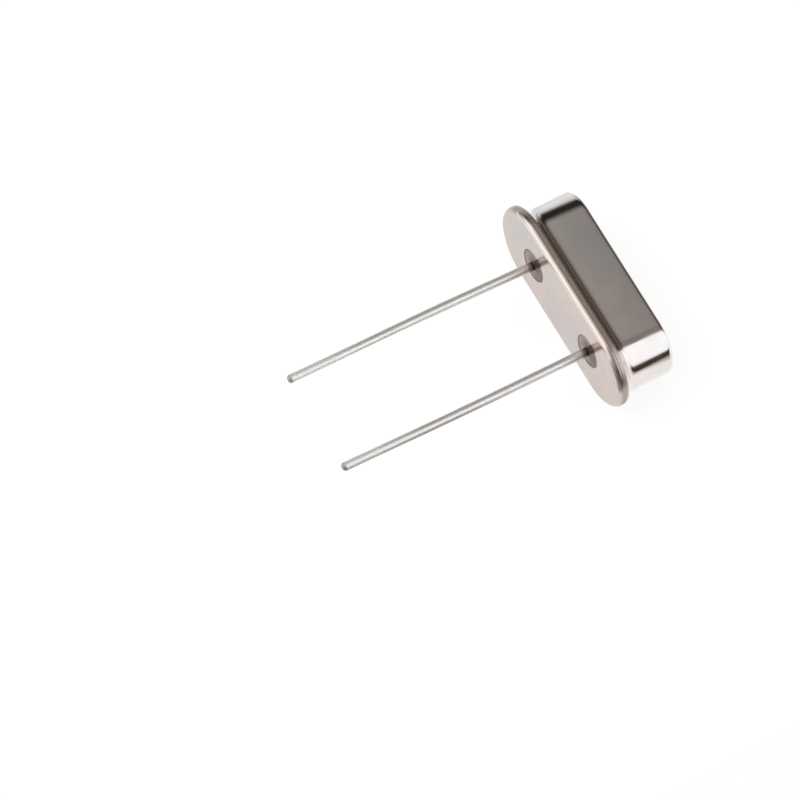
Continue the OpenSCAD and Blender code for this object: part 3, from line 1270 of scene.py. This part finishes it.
    @staticmethod
    def _lit(tree: Tree, panels: tuple[Panel, ...], ways: list[Socket], plain: float) -> Socket:
        """Lays panels over a plain grey, each over the ones before it.

        Args:
            tree: The tree of the world or of the floor.
            panels: The panels.
            ways: The ray's place in the two ways that the panels count in.
            plain: How bright the grey is.

        Returns:
            The colour with the panels in it.
        """
        layers = []
        for panel in panels:
            masks = []
            for place, (start, end), soft in zip(ways, (panel.first, panel.second), panel.soft):
                middle, half = (start + end) / 2, (end - start) / 2
                for operation, *values in (("SUBTRACT", middle), ("WRAP", 180.0, -180.0), ("ABSOLUTE",)):
                    place = add_node(tree, "ShaderNodeMath", (place, *values), operation=operation)[0]
                span = (place, half + soft / 2, half - soft / 2)
                mask = add_node(tree, "ShaderNodeMapRange", span, interpolation_type="SMOOTHSTEP")
                masks.append(mask["Result"])
            share = add_node(tree, "ShaderNodeMath", tuple(masks), operation="MULTIPLY")[0]
            layers.append((share, panel.light()))
        return layered(tree, grey(plain), layers)

    def _world(self) -> None:
        """Makes a world that is white to the camera, plain to dull surfaces and a studio to metal."""
        world = bpy.data.worlds.new("studio")
        bpy.context.scene.world = world
        world.use_nodes = True
        # Dull surfaces see one plain grey, so the world needn't be sampled as a lamp.
        world.cycles.sampling_method = "NONE"
        tree = world.node_tree
        way = add_node(tree, "ShaderNodeTexCoord")["Generated"]
        parts = add_node(tree, "ShaderNodeSeparateXYZ", (way,))
        ways = []
        for operation, inputs in (("ARCTAN2", (parts["X"], parts["Z"])), ("ARCSINE", (parts["Y"],))):
            angle = add_node(tree, "ShaderNodeMath", inputs, operation=operation)[0]
            ways.append(add_node(tree, "ShaderNodeMath", (angle,), operation="DEGREES")[0])
        camera, shiny = self._rays(tree)
        lit = self._lit(tree, self.panels, ways, self.room)
        colour = layered(tree, grey(self.diffuse), [(shiny, lit), (camera, grey(1.0))])
        feed(tree, tree.nodes["Background"], {"Color": colour})

    def _floor(self) -> None:
        """Makes the white floor, which keeps a faint shadow of the object."""
        left, right, front, back = (edge * MM for edge in self.floor_edges)
        mesh = bpy.data.meshes.new("floor")
        corners = [(left, front, 0), (right, front, 0), (right, back, 0), (left, back, 0)]
        mesh.from_pydata(corners, [], [(0, 1, 2, 3)])
        floor = put("floor", mesh)
        material = bpy.data.materials.new("white card")
        material.use_nodes = True
        tree = material.node_tree
        tree.nodes.clear()
        place = add_node(tree, "ShaderNodeTexCoord")["Object"]
        scaled = add_node(tree, "ShaderNodeMapping", {"Vector": place, "Scale": (1 / MM,) * 3})
        parts = add_node(tree, "ShaderNodeSeparateXYZ", (scaled[0],))
        camera, shiny = self._rays(tree)
        # To metal and glass the floor shows its patches of painted light and painted shade.
        lit = self._lit(tree, self.painted_floor_light_and_shade, [parts["X"], parts["Y"]], self.floor_near)
        colour = layered(tree, grey(self.floor_white), [(shiny, lit)])
        lifted = camera
        for operation, value in (("MAXIMUM", shiny), ("MULTIPLY", self.floor_lift)):
            lifted = add_node(tree, "ShaderNodeMath", (lifted, value), operation=operation)[0]
        paper = add_node(tree, "ShaderNodeBsdfDiffuse", {"Color": linear(self.floor_paper)})[0]
        white = add_node(tree, "ShaderNodeEmission", {"Color": colour})[0]
        mixed = add_node(tree, "ShaderNodeMixShader", (lifted, paper, white))[0]
        add_node(tree, "ShaderNodeOutputMaterial", {"Surface": mixed})
        mesh.materials.append(material)

    def _lamp(self) -> None:
        """Hangs one large soft lamp over the front left, which the metal doesn't mirror."""
        lamp = bpy.data.lights.new("soft lamp", "AREA")
        lamp.size = self.key_size
        # At 4 pi d^2 watts, a lamp at the distance d lights a white surface to a level of 1.
        lamp.energy = self.key_level * math.pi * self.key_distance**2 * 4
        way = Vector(self.key_way).normalized()
        holder = put("soft lamp", lamp)
        holder.location = way * self.key_distance
        holder.rotation_mode = "QUATERNION"
        holder.rotation_quaternion = way.to_track_quat("Z", "Y")
        holder.visible_glossy = False
        holder.visible_transmission = False

    def _camera(self) -> None:
        """Sets up the camera by where it aims and the direction that it looks from."""
        azimuth, elevation, roll = math.radians(64.65), math.radians(67.46), math.radians(-4.72)
        distance, lens = 524.0, 520.4
        aim = Vector((-0.295, -3.538, 0.841)) * MM
        out = Vector((math.sin(azimuth), -math.cos(azimuth), 0)) * math.cos(elevation)
        back = out + Vector((0, 0, math.sin(elevation)))
        level = Vector((math.cos(azimuth), math.sin(azimuth), 0))
        up = back.cross(level)
        right = level * math.cos(roll) + up * math.sin(roll)
        data = bpy.data.cameras.new("camera")
        data.lens = lens
        data.sensor_width = 36.0
        data.clip_start, data.clip_end = 0.01, 5.0
        camera = put("camera", data)
        turn = Matrix((right, back.cross(right), back)).transposed().to_4x4()
        camera.matrix_world = Matrix.Translation(aim + back * distance * MM) @ turn
        bpy.context.scene.camera = camera


def main() -> None:
    """Builds the crystal piece by piece, then the studio round it."""
    logging.basicConfig(level=logging.INFO, format="%(name)s %(message)s")
    placement = Placement.from_record(frame["record"])
    sweep = OblongSweep()
    drawn = NickelPlate("nickel plate on drawn steel", placement)
    stamped = NickelPlate(
        "nickel plate on stamped steel",
        placement,
        cool="#CFC8C5",
        warm="#DACBC4",
        drift_mm=2.6,
        edge_mm=(2.09, 2.16),
        edge="#B4A498",
        edge_rough=0.32,
    )
    Can(placement, sweep).build(drawn)
    Base(placement, sweep).build(stamped)
    tin = DippedTin("hot-dipped tin", placement).material()
    glass = FusedGlass("fused sealing glass", placement).material()
    left = Terminal(placement, sweep, side=Side.LEFT)
    right = Terminal(placement, sweep, side=Side.RIGHT, phase=5.0, lean=0.11, sway=0.028, sway_mm=22.0)
    for terminal in (left, right):
        terminal.build(tin, glass)
    Inside(frame["nodes"], placement).dress()
    Studio().build()


if __name__ == "__main__":
    main()
